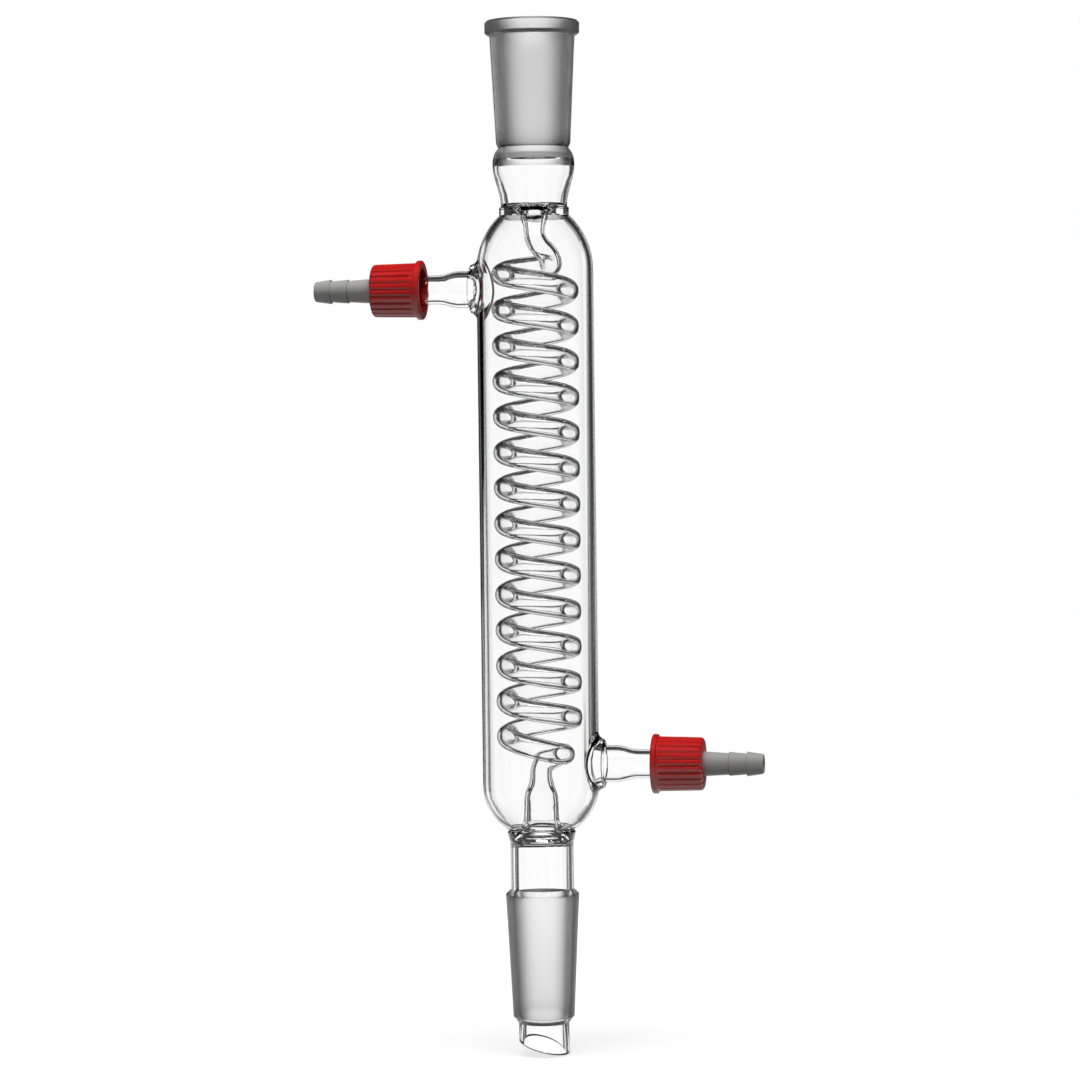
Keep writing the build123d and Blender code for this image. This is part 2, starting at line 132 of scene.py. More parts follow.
@dataclass
class Wiring:
    """A node tree while it is being wired."""

    tree: bpy.types.NodeTree

    def add(self, kind: str, inputs: dict | None = None, **settings: object) -> bpy.types.Node:
        """Adds one node.

        Args:
            kind: The node's type name.
            inputs: Socket name or number to a constant, or to another node's output that is linked to it.
            settings: Properties of the node.

        Returns:
            The new node.
        """
        node = self.tree.nodes.new(kind)
        for name, value in settings.items():
            setattr(node, name, value)
        self.feed(node, inputs or {})
        return node

    def feed(self, node: bpy.types.Node, inputs: dict) -> None:
        """Sets inputs of a node.

        Args:
            node: The node.
            inputs: Socket name or number to a constant, or to another node's output that is linked to it.
        """
        for key, value in inputs.items():
            if isinstance(value, bpy.types.NodeSocket):
                self.tree.links.new(value, node.inputs[key])
            else:
                node.inputs[key].default_value = value

    def calc(self, operation: str, *values: object) -> bpy.types.NodeSocket:
        """Output of one Math node whose inputs are the values in order."""
        return self.add("ShaderNodeMath", dict(enumerate(values)), operation=operation).outputs[0]

    def mix(self, share: object, none: object, full: object) -> bpy.types.NodeSocket:
        """Number that goes from none to full with the share."""
        return self.add("ShaderNodeMix", {0: share, 2: none, 3: full}).outputs[0]

    def tinted(self, share: object, none: object, full: object, blend: str = "MIX") -> bpy.types.NodeSocket:
        """Colour that goes from none to full with the share."""
        inputs = {0: share, 6: none, 7: full}
        return self.add("ShaderNodeMix", inputs, data_type="RGBA", blend_type=blend).outputs[2]

    def ramp(
        self, value: object, low: float, high: float, at_low: float = 0.0, at_high: float = 1.0
    ) -> bpy.types.NodeSocket:
        """Number that goes evenly from at_low to at_high while the value goes from low to high."""
        inputs = {0: value, 1: low, 2: high, 3: at_low, 4: at_high}
        return self.add("ShaderNodeMapRange", inputs).outputs[0]

    def noise(self, place: bpy.types.NodeSocket, scale: float, detail: float) -> bpy.types.NodeSocket:
        """Grey noise of a scale and detail at a place."""
        return self.add("ShaderNodeTexNoise", {"Vector": place, "Scale": scale, "Detail": detail}).outputs[0]

    def bump(self, strength: object, depth: float, height: bpy.types.NodeSocket) -> bpy.types.NodeSocket:
        """Normal that follows a height, with a strength and a depth."""
        inputs = {"Strength": strength, "Distance": depth, "Height": height}
        return self.add("ShaderNodeBump", inputs).outputs[0]

    def point(self, x: object, y: object = 0.0, z: object = 0.0) -> bpy.types.NodeSocket:
        """Vector of three coordinates."""
        return self.add("ShaderNodeCombineXYZ", {0: x, 1: y, 2: z}).outputs[0]

    def length(self, vector: bpy.types.NodeSocket) -> bpy.types.NodeSocket:
        """Length of a vector."""
        return self.add("ShaderNodeVectorMath", {0: vector}, operation="LENGTH").outputs["Value"]

    def place(self) -> bpy.types.NodeSocket:
        """Place on the piece in its own coordinates."""
        return self.add("ShaderNodeTexCoord").outputs["Object"]

    def band(self, value: object, low: float, high: float, soft: float) -> bpy.types.NodeSocket:
        """One inside the band from low to high and nought outside it.

        Args:
            value: Socket that carries the measured value.
            low: Lower edge of the band.
            high: Upper edge of the band.
            soft: Width over which each edge fades.

        Returns:
            Socket with the share from nought to one.
        """
        above = self.ramp(value, low - soft, low + soft)
        below = self.ramp(value, high + soft, high - soft)
        return self.calc("MULTIPLY", above, below)


def bare_wiring(owner: bpy.types.Material | bpy.types.World) -> Wiring:
    """Wiring of a material or a world whose nodes are cleared away.

    Args:
        owner: The material or world.

    Returns:
        Its wiring.
    """
    owner.use_nodes = True
    owner.node_tree.nodes.clear()
    return Wiring(owner.node_tree)


def new_object(name: str, data: bpy.types.ID) -> bpy.types.Object:
    """Adds an object to the scene.

    Args:
        name: Name of the object.
        data: Its mesh, lamp or camera.

    Returns:
        The object.
    """
    made = bpy.data.objects.new(name, data)
    bpy.context.scene.collection.objects.link(made)
    return made


def new_material(name: str) -> tuple[bpy.types.Material, Wiring, bpy.types.Node]:
    """Makes a material with a Principled BSDF.

    Args:
        name: Name of the material.

    Returns:
        The material, its wiring and its Principled node.
    """
    material = bpy.data.materials.new(name)
    wiring = bare_wiring(material)
    shader = wiring.add("ShaderNodeBsdfPrincipled")
    wiring.add("ShaderNodeOutputMaterial", {"Surface": shader.outputs[0]})
    return material, wiring, shader


@dataclass(frozen=True)
class ClearGlass:
    """Borosilicate glass, clear and fire-polished, with its ground zones frosted.

    The glass's colour carries painted shade. At the edges of every tube it is painted darker towards grazing
    angles, standing in for the dark lines glass shows on a bright ground. How early the shade begins follows
    the tube's bore: a thick wall shades further in than a thin one. The ground zones are frosted and painted
    grey as painted shade, darker towards grazing angles, in the socket's wall and towards the cone's narrow
    end.
    Zones are given by height over the cone's wide end and by distance from the axis, in millimetres.
    """

    ior: float = 1.473
    grind: float = 0.36
    taper: float = 0.05
    socket_low: float = 244.2
    socket_high: float = 284.4
    socket_bore: float = 10.0
    bore_margin: float = 0.5
    bead_low: float = 279.6
    chamfer_low: float = 239.2
    chamfer_high: float = 242.2
    chamfer_out: float = 12.0
    cone_low: float = -40.2
    cone_high: float = 0.15
    cone_inside: float = 9.7
    coil_low: float = 24.0
    coil_high: float = 220.0
    coil_reach: float = 15.5
    jacket_reach: float = 16.5
    arm_reach: float = 20.5
    face_gloss: float = 0.3
    facing_blend: float = 0.5
    socket_shade: float = 0.73
    narrow_shade: float = 0.78
    foot_shade: float = 0.65
    foot_rise: float = 5.0
    zone_blur: float = 0.15
    tone_blur: float = 0.5
    coil_shade: float = 0.58
    tube_shade: float = 0.7
    jacket_shade: float = 0.75
    frost_shade_stops: tuple = ((0.0, 0.99), (0.06, 0.95), (0.16, 0.71), (0.3, 0.38), (0.5, 0.18), (1.0, 0.09))
    edge_shade_stops: tuple = ((0.0, 1.0), (0.04, 0.8), (0.1, 0.25), (0.3, 0.08), (0.6, 0.05))
    grain_scale: float = 2600.0
    grain_detail: float = 3.0
    line_scale: tuple[float, float, float] = (60.0, 60.0, 2400.0)
    line_detail: float = 2.0
    line_weight: float = 1.5
    relief: float = 0.35
    relief_depth: float = 0.0001

    def build(self) -> bpy.types.Material:
        """Makes the material.

        Returns:
            The material.
        """
        material, wiring, shader = new_material("clear_glass")
        place = wiring.place()
        axes = wiring.add("ShaderNodeSeparateXYZ", {0: place})
        radius = wiring.length(wiring.point(axes.outputs[0], axes.outputs[1]))
        ground = self.ground_share(wiring, radius, axes.outputs[2])
        # Painted shade: the glass's colour is darkened towards grazing angles at the edges of every tube.
        facing = wiring.add("ShaderNodeLayerWeight", {"Blend": self.facing_blend}).outputs["Facing"]
        shade = self.edge_shade(wiring, facing, self.shade_start(wiring, axes, radius))
        # Painted shade: the ground zones are painted grey, darker towards grazing angles, then darker again
        # by height.
        frost_shade = grey_ramp(wiring, facing, self.frost_shade_stops)
        frost_shade = wiring.tinted(1.0, frost_shade, self.ground_shade(wiring, axes.outputs[2]), "MULTIPLY")
        tint = wiring.tinted(ground, shade, frost_shade)
        grain = wiring.noise(place, self.grain_scale, self.grain_detail)
        rings = wiring.add("ShaderNodeMapping", {0: place, 3: self.line_scale})
        lines = wiring.noise(rings.outputs[0], 1.0, self.line_detail)
        height = wiring.calc("ADD", grain, wiring.calc("MULTIPLY", lines, self.line_weight))
        strength = wiring.calc("MULTIPLY", ground, self.relief)
        inputs = {
            "Base Color": tint,
            "Roughness": wiring.calc("MULTIPLY", ground, self.grind),
            "Normal": wiring.bump(strength, self.relief_depth, height),
            "IOR": self.ior,
            "Transmission Weight": 1.0,
            "Specular Tint": (*[self.face_gloss] * 3, 1.0),
        }
        wiring.feed(shader, inputs)
        return material

    def ground_shade(self, wiring: Wiring, height: bpy.types.NodeSocket) -> bpy.types.NodeSocket:
        """Painted shade on the ground zones at a height.

        Args:
            wiring: Tree to add the nodes to.
            height: Height over the cone's wide end, in metres.

        Returns:
            Grey level of the painted shade, darker in the socket's wall and towards the cone's narrow end and
            foot.
        """
        # Painted shade: darker in the socket's wall and towards the cone's narrow end and foot.
        between = (self.chamfer_high + self.socket_low) / 2
        in_socket = wiring.band(height, between * MM, self.bead_low * MM, self.tone_blur * MM)
        shade_level = wiring.mix(in_socket, 1.0, self.socket_shade)
        foot = self.cone_low * MM
        for top, low_shade in ((0.0, self.narrow_shade), (foot + self.foot_rise * MM, self.foot_shade)):
            shade_level = wiring.calc("MULTIPLY", shade_level, wiring.ramp(height, foot, top, low_shade))
        return shade_level

    def ground_share(self, wiring: Wiring, radius: object, height: object) -> bpy.types.NodeSocket:
        """One on the socket's ground bore, its bead and inner shoulder, and on the cone's ground outside.

        Args:
            wiring: Tree to add the nodes to.
            radius: Distance from the condenser's axis, in metres.
            height: Height over the cone's wide end, in metres.

        Returns:
            Share of ground surface, from nought to one.
        """
        soft = self.zone_blur * MM
        in_socket = wiring.band(height, self.socket_low * MM, self.socket_high * MM, soft)
        bore = wiring.calc("MULTIPLY_ADD", height, self.taper, (self.bore_margin + self.socket_bore) * MM)
        bore = wiring.calc("SUBTRACT", bore, self.socket_low * self.taper * MM)
        inside = wiring.calc("LESS_THAN", radius, bore)
        on_bead = wiring.calc("GREATER_THAN", height, self.bead_low * MM)
        inside = wiring.calc("MAXIMUM", inside, on_bead)
        on_chamfer = wiring.calc(
            "MULTIPLY",
            wiring.band(height, self.chamfer_low * MM, self.chamfer_high * MM, soft),
            wiring.calc("LESS_THAN", radius, self.chamfer_out * MM),
        )
        on_cone = wiring.band(height, self.cone_low * MM, self.cone_high * MM, soft)
        outside = wiring.calc("GREATER_THAN", radius, self.cone_inside * MM)
        on_socket = wiring.calc("MAXIMUM", wiring.calc("MULTIPLY", in_socket, inside), on_chamfer)
        return wiring.calc("MAXIMUM", on_socket, wiring.calc("MULTIPLY", on_cone, outside))

    def shade_start(self, wiring: Wiring, axes: bpy.types.Node, radius: object) -> bpy.types.NodeSocket:
        """Grazing share at which the edge shade begins: early on the coil, late on the jacket's thin wall.

        Args:
            wiring: Tree to add the nodes to.
            axes: Node whose outputs are the three coordinates, in metres.
            radius: Distance from the condenser's axis, in metres.

        Returns:
            The share.
        """
        level = wiring.band(axes.outputs[2], self.coil_low * MM, self.coil_high * MM, self.tone_blur * MM)
        near = wiring.calc("LESS_THAN", radius, self.coil_reach * MM)
        on_coil = wiring.calc("MULTIPLY", level, near)
        beyond = wiring.calc("GREATER_THAN", radius, self.jacket_reach * MM)
        on_arm = wiring.calc("GREATER_THAN", wiring.calc("ABSOLUTE", axes.outputs[0]), self.arm_reach * MM)
        start = wiring.mix(on_coil, self.tube_shade, self.coil_shade)
        start = wiring.mix(beyond, start, self.jacket_shade)
        return wiring.mix(on_arm, start, self.tube_shade)

    def edge_shade(self, wiring: Wiring, facing: object, start: object) -> bpy.types.NodeSocket:
        """Painted shade: grey level of the clear glass's colour from the grazing share and the share at which
        it begins.
        """
        return grey_ramp(wiring, wiring.calc("SUBTRACT", facing, start), self.edge_shade_stops)


def grey_ramp(wiring: Wiring, value: bpy.types.NodeSocket, stops: tuple) -> bpy.types.NodeSocket:
    """Grey ramp.

    Args:
        wiring: Tree to add the ramp to.
        value: Socket that drives the ramp.
        stops: Pairs of position and grey level.

    Returns:
        The ramp's colour output.
    """
    node = wiring.add("ShaderNodeValToRGB", {0: value})
    elements = node.color_ramp.elements
    while len(elements) < len(stops):
        elements.new(0.5)
    for element, (position, grey) in zip(elements, stops):
        element.position = position
        element.color = (grey, grey, grey, 1.0)
    return node.outputs[0]


@dataclass(frozen=True)
class MouldedPlastic:
    """Moulded plastic or rubber with a fine skin, slight mottling and a soft gloss."""

    name: str
    colour: tuple[float, float, float]
    shade: tuple[float, float, float]
    roughness: float
    smoother: float = 0.04
    rougher: float = 0.06
    mottle_scale: float = 180.0
    mottle_detail: float = 3.0
    mottle_range: tuple[float, float] = (0.3, 0.7)
    skin: float = 0.25
    skin_scale: float = 2200.0
    skin_detail: float = 2.0
    skin_depth: float = 0.00005
    ior: float = 1.49
    gloss: float = 0.9

    def build(self) -> bpy.types.Material:
        """Makes the material.

        Returns:
            The material.
        """
        material, wiring, shader = new_material(self.name)
        place = wiring.place()
        cloud = wiring.noise(place, self.mottle_scale, self.mottle_detail)
        colour = wiring.tinted(cloud, (*self.shade, 1.0), (*self.colour, 1.0))
        fine = wiring.noise(place, self.skin_scale, self.skin_detail)
        least, most = self.roughness - self.smoother, self.roughness + self.rougher
        inputs = {
            "Base Color": colour,
            "Roughness": wiring.ramp(cloud, *self.mottle_range, least, most),
            "Normal": wiring.bump(self.skin, self.skin_depth, fine),
            "IOR": self.ior,
            "Specular IOR Level": self.gloss,
        }
        wiring.feed(shader, inputs)
        return material


RED_PLASTIC = MouldedPlastic(
    "red_plastic", colour=(0.56, 0.0025, 0.0018), shade=(0.46, 0.0022, 0.0016), roughness=0.36
)
GREY_PLASTIC = MouldedPlastic(
    "grey_plastic", colour=(0.34, 0.34, 0.336), shade=(0.30, 0.30, 0.296), roughness=0.42
)
PALE_RUBBER = MouldedPlastic(
    "pale_rubber", colour=(0.72, 0.69, 0.62), shade=(0.66, 0.63, 0.56), roughness=0.6
)


@dataclass(frozen=True)
class Corner:
    """One corner of a turned outline: distance along the arm, radius, rounding, and share of the grooves."""

    along: float
    out: float
    rounding: float = 0.0
    grip: float = 0.0


def rounded_outline(
    corners: list[Corner], steps: int = 4, lead: float = 0.12
) -> list[tuple[float, float, float]]:
    """Rounds the corners of a closed outline.

    Args:
        corners: The outline's corners in order.
        steps: Pieces that each rounded corner is divided into.
        lead: Distance past each end of a rounding where the straight gets a point, in millimetres.

    Returns:
        Points as (along, out, grip), without the closing one.
    """
    points = []
    for index, corner in enumerate(corners):
        here = Vector((corner.along, corner.out))
        before = corners[index - 1]
        after = corners[(index + 1) % len(corners)]
        back = Vector((before.along, before.out)) - here
        ahead = Vector((after.along, after.out)) - here
        if corner.rounding <= 0:
            points.append((here.x, here.y, corner.grip))
            continue
        half = back.angle(ahead) / 2
        reach = corner.rounding / math.tan(half)
        centre_way = (back.normalized() + ahead.normalized()).normalized()
        centre = here + centre_way * (corner.rounding / math.sin(half))
        start = here + back.normalized() * reach
        end = here + ahead.normalized() * reach
        first = start - centre
        sweep = first.angle_signed(end - centre)
        points.append((*(start + back.normalized() * lead), corner.grip))
        for step in range(steps + 1):
            spoke = first.copy()
            spoke.rotate(Matrix.Rotation(-sweep * step / steps, 2))
            points.append((*(centre + spoke), corner.grip))
        points.append((*(end + ahead.normalized() * lead), corner.grip))
    return points


def geometry_tree(
    name: str, counts: tuple[str, ...], sizes: tuple[str, ...]
) -> tuple[Wiring, bpy.types.Node]:
    """Starts a Geometry Nodes tree that takes a geometry, numbers and a material.

    Args:
        name: Name of the tree.
        counts: Names of its whole-number inputs.
        sizes: Names of its other number inputs.

    Returns:
        The tree's wiring and its Group Input node.
    """
    tree = bpy.data.node_groups.new(name, "GeometryNodeTree")
    tree.interface.new_socket("Geometry", in_out="INPUT", socket_type="NodeSocketGeometry")
    kinds = dict.fromkeys(counts, "NodeSocketInt") | dict.fromkeys(sizes, "NodeSocketFloat")
    kinds["Material"] = "NodeSocketMaterial"
    for label, kind in kinds.items():
        tree.interface.new_socket(label, in_out="INPUT", socket_type=kind)
    tree.interface.new_socket("Geometry", in_out="OUTPUT", socket_type="NodeSocketGeometry")
    wiring = Wiring(tree)
    return wiring, wiring.add("NodeGroupInput")


def end_geometry_tree(wiring: Wiring, given: bpy.types.Node, shape: bpy.types.NodeSocket) -> None:
    """Ends a tree in smooth shading, Realize Instances and Set Material.

    Args:
        wiring: The tree to end.
        given: Its group input.
        shape: Socket with the finished geometry.
    """
    smooth = wiring.add("GeometryNodeSetShadeSmooth", {"Geometry": shape})
    real = wiring.add("GeometryNodeRealizeInstances", {"Geometry": smooth.outputs[0]})
    dressed = wiring.add(
        "GeometryNodeSetMaterial", {"Geometry": real.outputs[0], "Material": given.outputs["Material"]}
    )
    wiring.add("NodeGroupOutput", {0: dressed.outputs[0]})


def turned_tree(weld: float = 0.001) -> bpy.types.NodeTree:
    """Tree that turns an outline about X and presses grip grooves into it where its grip attribute says.

    Args:
        weld: Distance within which the points of the closed wall are merged, in millimetres.

    Returns:
        The tree.
    """
    sizes = ("Groove Depth", "Groove Sharpness")
    wiring, given = geometry_tree("turned_wall", ("Segments", "Grooves"), sizes)
    outline = given.outputs["Geometry"]
    segments = given.outputs["Segments"]
    size = wiring.add("GeometryNodeAttributeDomainSize", {"Geometry": outline})
    rows = wiring.calc("ADD", size.outputs["Point Count"], 1)
    columns = wiring.calc("ADD", segments, 1)
    grid = wiring.add("GeometryNodeMeshGrid", {"Vertices X": rows, "Vertices Y": columns})
    index = wiring.add("GeometryNodeInputIndex").outputs[0]
    row = wiring.calc("MODULO", wiring.calc("FLOOR", wiring.calc("DIVIDE", index, columns)), size.outputs[0])
    column = wiring.calc("MODULO", index, columns)
    angle = wiring.calc("DIVIDE", wiring.calc("MULTIPLY", column, math.tau), segments)
    here = wiring.add("GeometryNodeInputPosition").outputs[0]
    held = wiring.add("GeometryNodeInputNamedAttribute", {"Name": "grip"}, data_type="FLOAT").outputs[0]
    read = []
    for value, kind in ((here, "FLOAT_VECTOR"), (held, "FLOAT")):
        inputs = {"Geometry": outline, "Value": value, "Index": row}
        read.append(wiring.add("GeometryNodeSampleIndex", inputs, data_type=kind).outputs[0])
    point, grip = read
    wave = wiring.calc("COSINE", wiring.calc("MULTIPLY", angle, given.outputs["Grooves"]))
    wave = wiring.calc("MULTIPLY_ADD", wave, 0.5, 0.5)
    share = wiring.calc("POWER", wave, given.outputs["Groove Sharpness"])
    depth = wiring.calc("MULTIPLY", wiring.calc("MULTIPLY", share, grip), given.outputs["Groove Depth"])
    parts = wiring.add("ShaderNodeSeparateXYZ", {0: point})
    out = wiring.calc("SUBTRACT", parts.outputs[1], depth)
    across = wiring.calc("MULTIPLY", out, wiring.calc("COSINE", angle))
    up = wiring.calc("MULTIPLY", out, wiring.calc("SINE", angle))
    turned = wiring.point(parts.outputs[0], across, up)
    wall = wiring.add("GeometryNodeSetPosition", {"Geometry": grid.outputs[0], "Position": turned})
    closed = wiring.add("GeometryNodeMergeByDistance", {"Geometry": wall.outputs[0], "Distance": weld})
    end_geometry_tree(wiring, given, closed.outputs[0])
    return wiring.tree


def thread_tree(
    turn_steps: int = 64, sides: int = 12, fade: float = 0.1, end_size: float = 0.15
) -> bpy.types.NodeTree:
    """Tree that winds a screw thread's ridge round X, fading out at both ends.

    Args:
        turn_steps: Pieces that each turn is divided into.
        sides: Sides of the ridge's round section.
        fade: Share of the thread over which each end fades.
        end_size: Share of the ridge's size that is left at each end.

    Returns:
        The tree.
    """
    wiring, given = geometry_tree("screw_thread", (), ("Start", "Pitch", "Turns", "Radius", "Ridge"))
    radius = given.outputs["Radius"]
    height = wiring.calc("MULTIPLY", given.outputs["Pitch"], given.outputs["Turns"])
    spiral = wiring.add(
        "GeometryNodeCurveSpiral",
        {
            "Resolution": turn_steps,
            "Rotations": given.outputs["Turns"],
            "Start Radius": radius,
            "End Radius": radius,
            "Height": height,
        },
    )
    share = wiring.add("GeometryNodeSplineParameter").outputs["Factor"]
    near_end = wiring.calc("MINIMUM", share, wiring.calc("SUBTRACT", 1.0, share))
    swell = wiring.ramp(near_end, 0.0, fade, end_size)
    ridge = wiring.add(
        "GeometryNodeCurvePrimitiveCircle", {"Resolution": sides, "Radius": given.outputs["Ridge"]}
    )
    sweep = {"Curve": spiral.outputs[0], "Profile Curve": ridge.outputs[0], "Scale": swell, "Fill Caps": True}
    shape = wiring.add("GeometryNodeCurveToMesh", sweep).outputs[0]
    start = wiring.point(given.outputs["Start"])
    laying = {"Geometry": shape, "Rotation": (0.0, math.pi / 2, 0.0), "Translation": start}
    end_geometry_tree(wiring, given, wiring.add("GeometryNodeTransform", laying).outputs[0])
    return wiring.tree


OFF_HELIX = -1.0


def coil_tree() -> bpy.types.NodeTree:
    """Tree that winds the coil's centre line into its helix and draws the hollow tube along it.

    The base mesh is a line of points. Those with a station from nought to one are set on the helix, and those
    of the bent ends, whose station is OFF_HELIX, stay where they are.

    Returns:
        The tree.
    """
    sizes = ("Coil Radius", "Turns", "Low Height", "Rise", "Tube Radius", "Bore Radius")
    wiring, given = geometry_tree("coiled_tube", ("Sides",), sizes)
    station = wiring.add("GeometryNodeInputNamedAttribute", {"Name": "station"}, data_type="FLOAT").outputs[0]
    wound = wiring.calc("GREATER_THAN", station, OFF_HELIX / 2)
    swept = wiring.calc("MULTIPLY", wiring.calc("MULTIPLY", station, given.outputs["Turns"]), math.tau)
    angle = wiring.calc("SUBTRACT", math.pi, swept)
    spot = wiring.point(
        wiring.calc("MULTIPLY", wiring.calc("COSINE", angle), given.outputs["Coil Radius"]),
        wiring.calc("MULTIPLY", wiring.calc("SINE", angle), given.outputs["Coil Radius"]),
        wiring.calc("MULTIPLY_ADD", station, given.outputs["Rise"], given.outputs["Low Height"]),
    )
    line = wiring.add(
        "GeometryNodeSetPosition",
        {"Geometry": given.outputs["Geometry"], "Selection": wound, "Position": spot},
    )
    curve = wiring.add("GeometryNodeMeshToCurve", {0: line.outputs[0]})
    walls = wiring.add("GeometryNodeJoinGeometry")
    for label in ("Tube Radius", "Bore Radius"):
        ring = wiring.add(
            "GeometryNodeCurvePrimitiveCircle",
            {"Resolution": given.outputs["Sides"], "Radius": given.outputs[label]},
        )
        wall = wiring.add(
            "GeometryNodeCurveToMesh", {"Curve": curve.outputs[0], "Profile Curve": ring.outputs[0]}
        )
        wiring.tree.links.new(wall.outputs[0], walls.inputs[0])
    end_geometry_tree(wiring, given, walls.outputs[0])
    return wiring.tree


def face_outward(shape: bmesh.types.BMesh) -> None:
    """Turns the faces of a mesh outward.

    Args:
        shape: The mesh.
    """
    bmesh.ops.recalc_face_normals(shape, faces=shape.faces)
    if shape.calc_volume(signed=True) < 0:
        bmesh.ops.reverse_faces(shape, faces=shape.faces)


def grown_mesh(
    name: str, base: bpy.types.Mesh, tree: bpy.types.NodeTree, inputs: dict[str, object], place: Matrix
) -> bpy.types.Object:
    """Runs a Geometry Nodes tree on a mesh and keeps the plain result.

    Args:
        name: Name of the piece.
        base: Mesh that the tree reads.
        tree: The tree.
        inputs: Input name to value.
        place: Matrix from the drawing's millimetres to the frame.

    Returns:
        The finished piece, at the origin, with its place in its mesh and its faces outward.
    """
    maker = new_object(f"{name}_maker", base)
    modifier = maker.modifiers.new("grow", "NODES")
    modifier.node_group = tree
    for socket in tree.interface.items_tree:
        if socket.item_type == "SOCKET" and socket.in_out == "INPUT" and socket.name in inputs:
            modifier[socket.identifier] = inputs[socket.name]
    depsgraph = bpy.context.evaluated_depsgraph_get()
    mesh = bpy.data.meshes.new_from_object(maker.evaluated_get(depsgraph))
    maker.modifiers.remove(modifier)
    bpy.data.objects.remove(maker)
    mesh.name = name
    mesh.transform(place)
    shape = bmesh.new()
    shape.from_mesh(mesh)
    face_outward(shape)
    shape.to_mesh(mesh)
    shape.free()
    return new_object(name, mesh)


def outline_mesh(points: list[tuple[float, float, float]]) -> bpy.types.Mesh:
    """Mesh of a closed outline's points, with their grip as an attribute.

    Args:
        points: Points as (along, out, grip), in millimetres.

    Returns:
        A mesh of points joined by edges in the plane of X and Y.
    """
    count = len(points)
    mesh = bpy.data.meshes.new("outline")
    edges = [(k, (k + 1) % count) for k in range(count)]
    mesh.from_pydata([(x, y, 0.0) for x, y, _ in points], edges, [])
    grip = mesh.attributes.new("grip", "FLOAT", "POINT")
    grip.data.foreach_set("value", [share for _, _, share in points])
    return mesh


@dataclass
class TurnedPiece:
    """A plastic piece turned about its side arm's axis from a rounded section."""

    side: Side
    finish: bpy.types.Material
    turned: bpy.types.NodeTree
    segments: int = 96
    grooves: int = 0
    groove_depth: float = 0.0
    groove_sharpness: float = 1.0
    arc_steps: int = 4

    def turn(self, name: str, corners: list[Corner]) -> bpy.types.Object:
        """Turns a section about the arm.

        Args:
            name: Name of the piece.
            corners: The section's corners in order.

        Returns:
            The piece.
        """
        inputs = {
            "Segments": self.segments,
            "Grooves": self.grooves,
            "Groove Depth": self.groove_depth,
            "Groove Sharpness": self.groove_sharpness,
            "Material": self.finish,
        }
        section = outline_mesh(rounded_outline(corners, self.arc_steps))
        return grown_mesh(name, section, self.turned, inputs, self.side.place())


@dataclass
class ScrewCap(TurnedPiece):
    """A screw cap: flared rim, grooved grip, rounded end with a hole for the hose connector."""

    segments: int = 288
    grooves: int = 24
    groove_depth: float = 0.55
    groove_sharpness: float = 5.0
    arc_steps: int = 5
    rim_d: float = 19.4
    rim_width: float = 1.8
    mouth_d: float = 17.9
    end_d: float = 17.2
    end_wall: float = 1.6
    end_rim: float = 1.9
    bore_d: float = 14.6
    hole_d: float = 8.76
    run_in: tuple = ((0.6, 0.03, 0.0), (1.0, 0.05, 0.7), (1.5, 0.08, 1.0))
    run_out: tuple = ((5.0, 0.1), (1.6, 0.02))
    lip_edge: float = 0.25
    rim_front: float = 0.55
    rim_back: float = 0.35
    rim_root: float = 0.2
    end_edge: float = 1.1
    hole_edge: float = 0.3
    hole_inner_edge: float = 0.15
    bore_root: float = 0.3

    def corners(self) -> list[Corner]:
        """Corners of the cap's section, with the run-in and run-out of its grooves.

        Returns:
            The corners in order.
        """
        mouth, end = self.side.reach("screw_cap")
        body = mouth + self.rim_width
        inner = end - self.end_wall
        mouth_r, end_r = self.mouth_d / 2, self.end_d / 2
        return [
            Corner(mouth, self.bore_d / 2, self.lip_edge),
            Corner(mouth, self.rim_d / 2, self.rim_front),
            Corner(body, self.rim_d / 2, self.rim_back),
            Corner(body, mouth_r, self.rim_root),
            *[Corner(body + past, mouth_r - lower, grip=share) for past, lower, share in self.run_in],
            *[Corner(end - short, end_r + higher, grip=1.0) for short, higher in self.run_out],
            Corner(end, end_r, self.end_edge, grip=1.0),
            Corner(end, end_r - self.end_rim),
            Corner(end, self.hole_d / 2, self.hole_edge),
            Corner(inner, self.hole_d / 2, self.hole_inner_edge),
            Corner(inner, self.bore_d / 2, self.bore_root),
        ]

    def build(self) -> bpy.types.Object:
        """Makes the cap, sets it on its body and hides its imported node.

        Returns:
            The cap.
        """
        cap = self.turn(f"{self.side.label}_grip_cap", self.corners())
        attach(cap, self.side.cap_body.value)
        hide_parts(f"{self.side.label}_screw_cap")
        return cap


